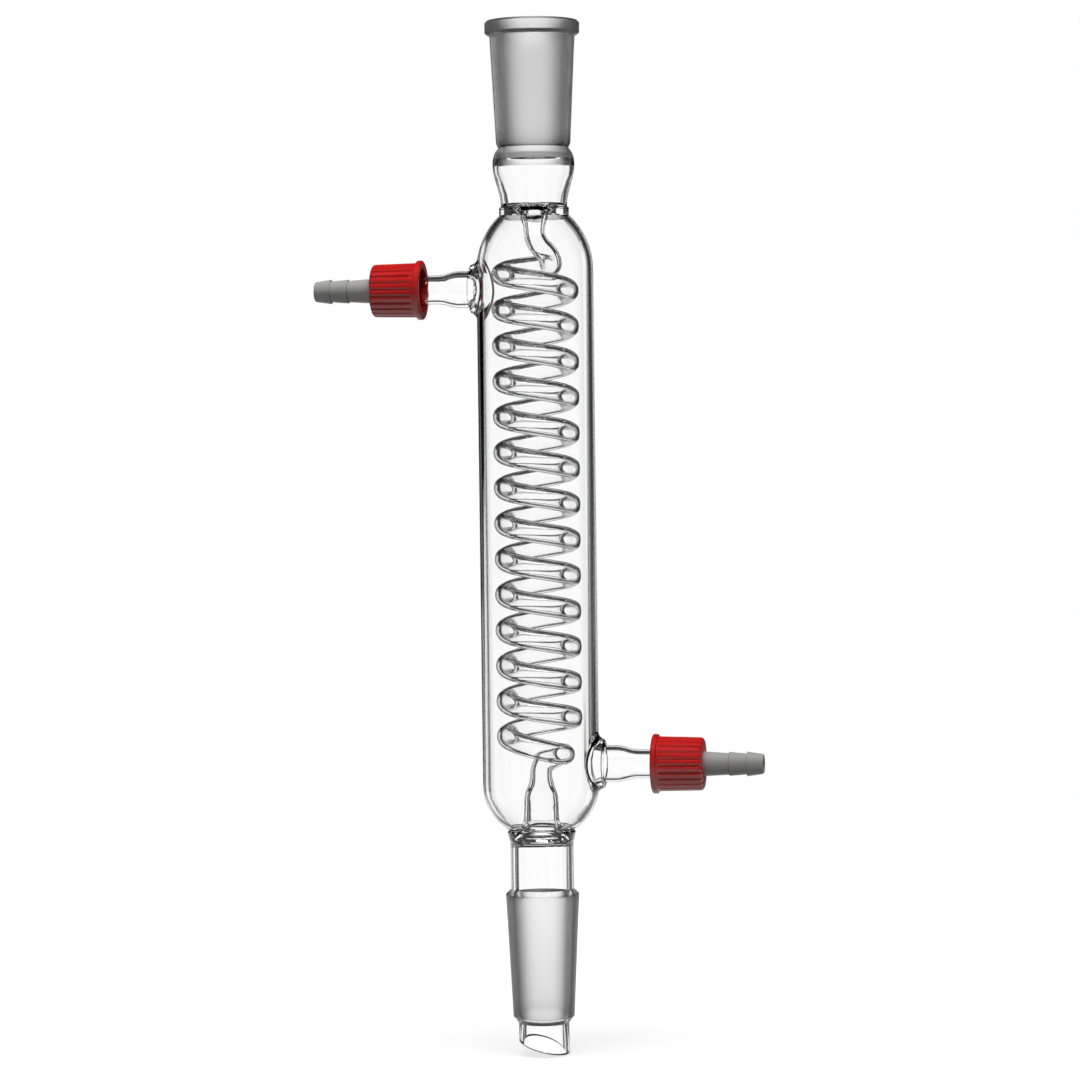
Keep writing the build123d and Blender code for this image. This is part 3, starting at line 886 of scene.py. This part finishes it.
@dataclass
class HoseConnector(TurnedPiece):
    """A flanged hose connector: tapered stem and two barbs round one bore."""

    flange: float = 1.5
    flange_d: float = 12.0
    stem: float = 8.2
    stem_d: float = 8.06
    stem_end_d: float = 7.0
    barb: float = 5.8
    barb_d: float = 7.8
    barb_end_d: float = 6.8
    tip_d: float = 8.04
    tip_end_d: float = 6.4
    bore_d: float = 4.5
    flange_edge: float = 0.2
    flange_root: float = 0.15
    barb_root: float = 0.2
    barb_edge: float = 0.18
    tip_edge: float = 0.6
    foot_bore_edge: float = 0.15
    tip_bore_edge: float = 0.25

    def corners(self) -> list[Corner]:
        """Corners of the connector's section. The stem tapers from where it leaves the cap.

        Returns:
            The corners in order.
        """
        foot, tip = self.side.reach("hose_connector")
        _, cap_end = self.side.reach("screw_cap")
        flange_out = foot + self.flange
        stem_end = cap_end + self.stem
        barb_end = stem_end + self.barb
        return [
            Corner(foot, self.bore_d / 2, self.foot_bore_edge),
            Corner(foot, self.flange_d / 2, self.flange_edge),
            Corner(flange_out, self.flange_d / 2, self.flange_edge),
            Corner(flange_out, self.stem_d / 2, self.flange_root),
            Corner(cap_end, self.stem_d / 2),
            Corner(stem_end, self.stem_end_d / 2, self.barb_root),
            Corner(stem_end, self.barb_d / 2, self.barb_edge),
            Corner(barb_end, self.barb_end_d / 2, self.barb_root),
            Corner(barb_end, self.tip_d / 2, self.barb_edge),
            Corner(tip, self.tip_end_d / 2, self.tip_edge),
            Corner(tip, self.bore_d / 2, self.tip_bore_edge),
        ]

    def build(self) -> bpy.types.Object:
        """Makes the connector, sets it on its body and hides its imported node.

        Returns:
            The connector.
        """
        piece = self.turn(f"{self.side.label}_barbed_connector", self.corners())
        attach(piece, self.side.connector_body.value)
        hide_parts(f"{self.side.label}_hose_connector")
        return piece


@dataclass
class SealingRing:
    """The soft ring between an arm's rim and the connector's flange."""

    side: Side
    finish: bpy.types.Material

    def dress(self) -> bpy.types.Object:
        """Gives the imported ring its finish.

        Returns:
            The ring.
        """
        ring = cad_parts[f"{self.side.label}_sealing_ring"]
        set_finish(ring, self.finish)
        return ring


@dataclass
class ArmThread:
    """The screw thread on the end of a side arm, which stops one ridge short of the arm's rim."""

    side: Side
    finish: bpy.types.Material
    thread: bpy.types.NodeTree
    pitch: float = 2.5
    turns: float = 2.4
    root_d: float = 12.2
    ridge: float = 0.8

    def build(self) -> bpy.types.Object:
        """Winds the thread round its arm.

        Returns:
            The thread.
        """
        rim, _ = self.side.reach("sealing_ring")
        inputs = {
            "Start": rim - self.ridge - self.pitch * self.turns,
            "Pitch": self.pitch,
            "Turns": self.turns,
            "Radius": self.root_d / 2,
            "Ridge": self.ridge,
            "Material": self.finish,
        }
        seed = bpy.data.meshes.new("seed")
        piece = grown_mesh(f"{self.side.label}_arm_thread", seed, self.thread, inputs, self.side.place())
        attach(piece, Body.GLASS.value)
        return piece


def arc(start: Vector, heading: Vector, end: Vector, steps: int) -> tuple[list[Vector], Vector]:
    """Points along the arc that leaves start along heading and passes through end.

    Args:
        start: First point.
        heading: Unit direction at the start.
        end: Last point.
        steps: Pieces that the arc is divided into.

    Returns:
        The points after the first, and the unit direction at the end.
    """
    chord = end - start
    aside = chord - heading * chord.dot(heading)
    radius = chord.length_squared / (2 * aside.length)
    outward = aside.normalized()
    swept = 2 * math.atan2(aside.length, chord.dot(heading))
    points = []
    for step in range(1, steps + 1):
        turn = swept * step / steps
        points.append(start + heading * (radius * math.sin(turn)) + outward * (radius * (1 - math.cos(turn))))
    return points, heading * math.cos(swept) + outward * math.sin(swept)


def arc_pair(
    start: Vector, heading: Vector, end: Vector, end_heading: Vector, leg: float, steps: int
) -> list[Vector]:
    """Points along two tangent arcs from start to end.

    Args:
        start: First point.
        heading: Unit direction at the start.
        end: Last point.
        end_heading: Unit direction at the end.
        leg: Length of the first arc's tangent.
        steps: Pieces that each arc is divided into.

    Returns:
        The points after the first.
    """
    corner = start + heading * leg
    gap = end - corner
    other_leg = (gap.length_squared - leg**2) / (2 * (leg + gap.dot(end_heading)))
    before = end - end_heading * other_leg
    joint = (corner * other_leg + before * leg) / (leg + other_leg)
    first, turned = arc(start, heading, joint, steps)
    second, _ = arc(joint, turned, end, steps)
    return first + second


def smooth_span(points: list[Vector], first: Vector, last: Vector, steps: int) -> list[Vector]:
    """Points along a smooth curve through three points with given end directions.

    Args:
        points: The three points.
        first: Unit direction at the first point.
        last: Unit direction at the last point.
        steps: Pieces that each span is divided into.

    Returns:
        The points after the first.
    """
    start, middle, end = points
    low = (middle - start).length
    high = (end - middle).length
    pull = (middle - start) * (3 * high / low) + (end - middle) * (3 * low / high)
    through = (pull - first * high - last * low) / (2 * (low + high))
    found = []
    for here, there, leave, reach, length in (
        (start, middle, first, through, low),
        (middle, end, through, last, high),
    ):
        for step in range(1, steps + 1):
            t = step / steps
            found.append(
                here * (2 * t**3 - 3 * t**2 + 1)
                + leave * (length * (t**3 - 2 * t**2 + t))
                + there * (3 * t**2 - 2 * t**3)
                + reach * (length * (t**3 - t**2))
            )
    return found


@dataclass
class Coil:
    """The bent tube: a left-handed helix with a curl below and a swing above, in a frame turned by twist."""

    finish: bpy.types.Material
    winder: bpy.types.NodeTree
    low_z: float = 39.3
    high_z: float = 216.4
    radius: float = 10.8
    tube_radius: float = 3.5
    bore_radius: float = 2.5
    turns: float = 13 + 53 / 360
    twist: float = 9.5
    low_rise: float = 12.3
    high_drop: float = 12.3
    curl: tuple[float, float, float] = (7.7, -1.5, 6.4)
    curl_leg: float = 2.9
    front_inset: float = 0.5
    front_drop: float = 3.6
    swing: tuple[float, float, float] = (2.6, -0.3, -6.2)
    swing_leg: float = 8.4
    bend_steps: int = 14
    turn_steps: int = 52
    sides: int = 36

    @property
    def foot(self) -> float:
        """Height of the helix's lower end, in millimetres."""
        return self.low_z + self.low_rise

    @property
    def rise(self) -> float:
        """Height of the helix from end to end, in millimetres."""
        return self.high_z - self.high_drop - self.foot

    def helix_point(self, station: float) -> Vector:
        """Point of the helix at a station from nought to one.

        Args:
            station: Share of the helix below the point.

        Returns:
            The point, in millimetres.
        """
        angle = math.pi - math.tau * self.turns * station
        height = self.foot + self.rise * station
        return Vector((self.radius * math.cos(angle), self.radius * math.sin(angle), height))

    def helix_heading(self, station: float) -> Vector:
        """Unit direction of the helix, upward, at a station from nought to one.

        Args:
            station: Share of the helix below the point.

        Returns:
            The direction.
        """
        step = 1e-5
        return (self.helix_point(station + step) - self.helix_point(station - step)).normalized()

    def lower_end(self) -> list[Vector]:
        """Points from the lower funnel to just before the helix.

        Returns:
            The points, in millimetres.
        """
        up = Vector((0, 0, 1))
        forward = Vector((0, -1, 0))
        funnel = Vector((0, 0, self.low_z))
        curl = funnel + Vector(self.curl)
        points = arc_pair(funnel, up, curl, forward, self.curl_leg, self.bend_steps)
        front = Vector((0, self.front_inset - self.radius, self.foot - self.front_drop))
        start = self.helix_point(0.0)
        points += smooth_span([curl, front, start], forward, self.helix_heading(0.0), self.bend_steps)
        return points[:-1]

    def upper_end(self) -> list[Vector]:
        """Points from just past the helix to the upper funnel.

        Returns:
            The points, in millimetres.
        """
        head = Vector((0, 0, self.high_z))
        swing = head + Vector(self.swing)
        drop, sinking = arc(head, Vector((0, 0, -1)), swing, self.bend_steps)
        start = self.helix_point(1.0)
        points = arc_pair(start, self.helix_heading(1.0), swing, -sinking, self.swing_leg, self.bend_steps)
        return points + drop[-2::-1]

    def line(self) -> bpy.types.Mesh:
        """Mesh line of the whole centre line, with each point's station on the helix or OFF_HELIX.

        Returns:
            The mesh.
        """
        low, high = self.lower_end(), self.upper_end()
        wound = round(self.turns * self.turn_steps)
        points = low + [Vector()] * (wound + 1) + high
        helix = [k / wound for k in range(wound + 1)]
        stations = [OFF_HELIX] * len(low) + helix + [OFF_HELIX] * len(high)
        mesh = bpy.data.meshes.new("coil_line")
        mesh.from_pydata(points, [(k, k + 1) for k in range(len(points) - 1)], [])
        mesh.attributes.new("station", "FLOAT", "POINT").data.foreach_set("value", stations)
        return mesh

    def build(self) -> bpy.types.Object:
        """Winds the tube, open at both ends, and sets it in the frame.

        Returns:
            The tube.
        """
        inputs = {
            "Coil Radius": self.radius,
            "Turns": self.turns,
            "Low Height": self.foot,
            "Rise": self.rise,
            "Tube Radius": self.tube_radius,
            "Bore Radius": self.bore_radius,
            "Sides": self.sides,
            "Material": self.finish,
        }
        place = Matrix.Rotation(math.radians(self.twist), 4, "Z") @ Matrix.Scale(MM, 4)
        return grown_mesh("wound_tube", self.line(), self.winder, inputs, place)


@dataclass
class GlassBody:
    """The flame-fused glass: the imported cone, jacket, neck and socket, with the coil wound into them."""

    finish: bpy.types.Material
    coil: Coil
    weld: float = 0.0005
    seam_reach: float = 0.02
    clearance: float = 0.5
    crease: float = 32.0

    def on_seam(self, vertex: bmesh.types.BMVert) -> bool:
        """True for a vertex on one of the four circles where the coil's tube meets a funnel.

        Args:
            vertex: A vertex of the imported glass.

        Returns:
            Whether it lies on a seam.
        """
        height = vertex.co.z / MM
        out = vertex.co.xy.length / MM
        level = min(abs(height - self.coil.low_z), abs(height - self.coil.high_z))
        circle = min(abs(out - self.coil.tube_radius), abs(out - self.coil.bore_radius))
        return level < self.seam_reach and circle < self.seam_reach

    def packed_coil(self, shape: bmesh.types.BMesh) -> list[bmesh.types.BMFace]:
        """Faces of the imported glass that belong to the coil, found by spreading out to the four seams.

        Args:
            shape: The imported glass, merged.

        Returns:
            The faces, or none where the seams do not part the coil from the funnels.
        """
        coil = self.coil
        seams = {edge for edge in shape.edges if all(self.on_seam(vertex) for vertex in edge.verts)}
        widest = coil.radius + coil.tube_radius + self.clearance
        found = set()
        for face in shape.faces:
            middle = face.calc_center_median() / MM
            if 0 < middle.z - coil.foot < coil.rise and middle.xy.length < widest:
                found.add(face)
        growing = list(found)
        while growing:
            face = growing.pop()
            for edge in face.edges:
                if edge in seams:
                    continue
                for other in edge.link_faces:
                    if other not in found:
                        found.add(other)
                        growing.append(other)
        heights = [vertex.co.z / MM for face in found for vertex in face.verts]
        parted = min(heights) > coil.low_z - self.clearance and max(heights) < coil.high_z + self.clearance
        LOG.info("packed coil: %d faces, %d seam edges, parted: %s", len(found), len(seams), parted)
        return list(found) if parted else []

    def open_rings(self, shape: bmesh.types.BMesh) -> dict[tuple[bool, bool], list[bmesh.types.BMEdge]]:
        """Open edges at the coil's ends, sorted by upper or lower end and by tube or bore.

        Args:
            shape: The glass with its old coil gone and the wound one beside it.

        Returns:
            Edges by (upper, outer).
        """
        rings = {}
        middle = (self.coil.low_z + self.coil.high_z) / 2
        between = (self.coil.tube_radius + self.coil.bore_radius) / 2
        for edge in shape.edges:
            if edge.is_boundary:
                spot = edge.verts[0].co / MM
                rings.setdefault((spot.z > middle, spot.xy.length > between), []).append(edge)
        return rings

    def wind_in(self, shape: bmesh.types.BMesh, stale: list[bmesh.types.BMFace]) -> None:
        """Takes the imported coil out, sets the wound one in its place and closes the four rings.

        Args:
            shape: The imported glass, merged.
            stale: Its faces that belong to the coil.
        """
        tube = self.coil.build()
        bmesh.ops.delete(shape, geom=stale, context="FACES")
        shape.from_mesh(tube.data)
        bpy.data.objects.remove(tube)
        for ring in self.open_rings(shape).values():
            bmesh.ops.bridge_loops(shape, edges=ring)
        face_outward(shape)
        open_edges = sum(edge.is_boundary for edge in shape.edges)
        LOG.info("glass: %.0f mm3, %d open edges", shape.calc_volume(signed=True) / MM**3, open_edges)

    def polish(self, shape: bmesh.types.BMesh) -> None:
        """Shades the glass smooth, with a sharp line at each real edge.

        Args:
            shape: The glass.
        """
        limit = math.radians(self.crease)
        for face in shape.faces:
            face.smooth = True
        for edge in shape.edges:
            edge.smooth = not (edge.is_manifold and edge.calc_face_angle() > limit)

    def build(self) -> bpy.types.Object:
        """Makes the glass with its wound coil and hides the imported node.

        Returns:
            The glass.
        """
        shape = bmesh.new()
        shape.from_mesh(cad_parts["glass_body"].data)
        bmesh.ops.remove_doubles(shape, verts=shape.verts, dist=self.weld * MM)
        stale = self.packed_coil(shape)
        if stale:
            self.wind_in(shape, stale)
        self.polish(shape)
        mesh = bpy.data.meshes.new("blown_glass")
        shape.to_mesh(mesh)
        shape.free()
        mesh.materials.append(self.finish)
        glass = new_object("blown_glass", mesh)
        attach(glass, Body.GLASS.value)
        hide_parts("glass_body")
        return glass


def set_finish(piece: bpy.types.Object, finish: bpy.types.Material) -> None:
    """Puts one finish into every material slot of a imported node.

    Args:
        piece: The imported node.
        finish: The finish.
    """
    if not piece.material_slots:
        piece.data.materials.append(finish)
    for place in piece.material_slots:
        place.material = finish


def aimed(spot: Vector, target: Vector) -> Matrix:
    """Matrix that sets a camera or a lamp at a spot and turns it to a target.

    Args:
        spot: Where it stands.
        target: What it faces.

    Returns:
        The matrix.
    """
    way = target - spot
    return Matrix.Translation(spot) @ way.to_track_quat("-Z", "Y").to_matrix().to_4x4()


@dataclass(frozen=True)
class SoftBox:
    """A lamp with a wide soft face, turned to the middle of the condenser. Its power is in watts."""

    name: str
    spot: tuple[float, float, float]
    size: tuple[float, float]
    power: float
    aim_height: float = 0.11

    def hang(self) -> bpy.types.Object:
        """Hangs the lamp.

        Returns:
            The lamp.
        """
        data = bpy.data.lights.new(self.name, "AREA")
        data.shape = "RECTANGLE"
        data.size, data.size_y = self.size
        data.energy = self.power
        lamp = new_object(self.name, data)
        lamp.visible_glossy = False
        lamp.matrix_world = aimed(Vector(self.spot), Vector((0, 0, self.aim_height)))
        return lamp


@dataclass
class Studio:
    """Plain floor, bright ground behind, light from above, and the camera.

    Places are in metres, angles in degrees, and the lens and its sensor in millimetres.
    """

    camera_turn: float = 9.5
    camera_distance: float = 1.220
    eye_height: float = 0.1524
    aim_height: float = 0.1156
    aim_side: float = 0.0006
    roll: float = 0.72
    lens: float = 124.8
    sensor: float = 36.0
    clip: tuple[float, float] = (0.01, 50.0)
    floor_z: float = -0.0528
    floor_reach: float = 0.42
    floor_middle: float = 0.1
    floor_glow: tuple[float, float] = (0.72, 0.9)
    floor_grey: float = 0.3
    main_window: tuple[float, float] = (-8.0, 24.0)
    side_window: float = 8.0
    side_step: float = 45.0
    level_window: tuple[float, float] = (-34.0, 15.0)
    low_window: tuple[float, float] = (-100.0, -58.0)
    flag_blur: float = 1.5
    flag_level: float = 0.04
    gloss_share: float = 0.5
    dim_rise: tuple[float, float] = (-15.0, 55.0)
    dim_level: tuple[float, float] = (0.01, 0.5)
    lamps: tuple[SoftBox, ...] = (
        SoftBox("top_box", spot=(0.1, -0.35, 1.35), size=(1.0, 0.7), power=19.0),
        SoftBox("front_box", spot=(-0.7, -1.3, 0.6), size=(0.5, 0.9), power=1.0),
    )

    def camera(self) -> bpy.types.Object:
        """Sets the camera where the view of the whole condenser is taken from.

        Returns:
            The camera.
        """
        turn = math.radians(self.camera_turn)
        back = Vector((math.sin(turn), -math.cos(turn), 0.0))
        right = Vector((math.cos(turn), math.sin(turn), 0.0))
        eye = back * self.camera_distance + Vector((0, 0, self.eye_height)) + right * self.aim_side
        aim = right * self.aim_side + Vector((0, 0, self.aim_height))
        data = bpy.data.cameras.new("camera")
        data.lens = self.lens
        data.sensor_width = self.sensor
        data.clip_start, data.clip_end = self.clip
        camera = new_object("camera", data)
        camera.matrix_world = aimed(eye, aim) @ Matrix.Rotation(math.radians(-self.roll), 4, "Z")
        bpy.context.scene.camera = camera
        return camera

    def floor(self) -> bpy.types.Object:
        """Lays a wide pale floor that keeps the shadow.

        Returns:
            The floor.
        """
        mesh = bpy.data.meshes.new("floor")
        reach = self.floor_reach
        corners = [(-reach, -reach), (reach, -reach), (reach, reach), (-reach, reach)]
        mesh.from_pydata([(x, y, self.floor_z) for x, y in corners], [], [(0, 1, 2, 3)])
        floor = new_object("floor", mesh)
        material = bpy.data.materials.new("floor")
        wiring = bare_wiring(material)
        level = wiring.ramp(wiring.length(wiring.place()), self.floor_middle, reach, *self.floor_glow)
        matte = wiring.add("ShaderNodeBsdfDiffuse", {"Color": (*[self.floor_grey] * 3, 1.0)})
        lift = wiring.calc("MULTIPLY", self.seen(wiring), level)
        glow = wiring.add("ShaderNodeEmission", {"Color": (1.0, 1.0, 1.0, 1.0), "Strength": lift})
        both = wiring.add("ShaderNodeAddShader", {0: matte.outputs[0], 1: glow.outputs[0]})
        wiring.add("ShaderNodeOutputMaterial", {"Surface": both.outputs[0]})
        mesh.materials.append(material)
        floor.visible_transmission = False
        floor.visible_diffuse = False
        return floor

    @staticmethod
    def seen(wiring: Wiring) -> bpy.types.NodeSocket:
        """One for rays that come from the camera, from gloss or through glass, and nought for others.

        Args:
            wiring: Tree to add the nodes to.

        Returns:
            The share.
        """
        path = wiring.add("ShaderNodeLightPath")
        seen = wiring.calc("MAXIMUM", path.outputs["Is Camera Ray"], path.outputs["Is Glossy Ray"])
        return wiring.calc("MAXIMUM", seen, path.outputs["Is Transmission Ray"])

    def ground(self) -> None:
        """Makes the world: white straight ahead, with dark flags between the ways it is looked at.

        Plain surfaces see a dim even light. Glass sees the flags at its edges, which draws its dark lines.
        """
        world = bpy.data.worlds.new("world")
        wiring = bare_wiring(world)
        path = wiring.add("ShaderNodeLightPath")
        axes = wiring.add("ShaderNodeSeparateXYZ", {0: wiring.add("ShaderNodeTexCoord").outputs["Generated"]})
        left = wiring.calc("MULTIPLY", axes.outputs[0], -1.0)
        turn = wiring.calc("DEGREES", wiring.calc("ARCTAN2", left, axes.outputs[1]))
        main_window = wiring.band(turn, *self.main_window, self.flag_blur)
        step = wiring.calc("FLOORED_MODULO", wiring.calc("ADD", turn, self.side_step / 2), self.side_step)
        step = wiring.calc("SUBTRACT", step, self.side_step / 2)
        side_window = wiring.band(step, -self.side_window, self.side_window, self.flag_blur)
        window = wiring.calc("MAXIMUM", main_window, side_window)
        rise = wiring.calc("DEGREES", wiring.calc("ARCSINE", axes.outputs[2]))
        window = wiring.calc("MULTIPLY", window, wiring.band(rise, *self.level_window, self.flag_blur))
        window = wiring.calc("MAXIMUM", window, wiring.band(rise, *self.low_window, self.flag_blur))
        through = wiring.calc("MULTIPLY_ADD", window, 1.0 - self.flag_level, self.flag_level)
        gloss = wiring.calc("MULTIPLY", through, self.gloss_share)
        level = wiring.ramp(rise, *self.dim_rise, *self.dim_level)
        for ray, strength in (("Glossy", gloss), ("Transmission", through), ("Camera", 1.0)):
            level = wiring.mix(path.outputs[f"Is {ray} Ray"], level, strength)
        ground = wiring.add("ShaderNodeBackground", {"Color": (1.0, 1.0, 1.0, 1.0), "Strength": level})
        wiring.add("ShaderNodeOutputWorld", {"Surface": ground.outputs[0]})
        bpy.context.scene.world = world

    def build(self) -> None:
        """Makes the floor, the ground, the lamps and the camera."""
        self.floor()
        self.ground()
        for lamp in self.lamps:
            lamp.hang()
        self.camera()
        bpy.context.scene.view_settings.view_transform = "Standard"


def main() -> None:
    """Dresses the condenser piece by piece and sets it in its studio."""
    logging.basicConfig(level=logging.INFO, format="%(message)s")
    glass = ClearGlass().build()
    red, grey, rubber = RED_PLASTIC.build(), GREY_PLASTIC.build(), PALE_RUBBER.build()
    turned = turned_tree()
    thread = thread_tree()
    pieces = [GlassBody(glass, Coil(glass, coil_tree())).build()]
    for side in Side:
        pieces.append(ArmThread(side, glass, thread).build())
        pieces.append(ScrewCap(side, red, turned).build())
        pieces.append(HoseConnector(side, grey, turned).build())
        pieces.append(SealingRing(side, rubber).dress())
    Studio().build()


if __name__ == "__main__":
    main()
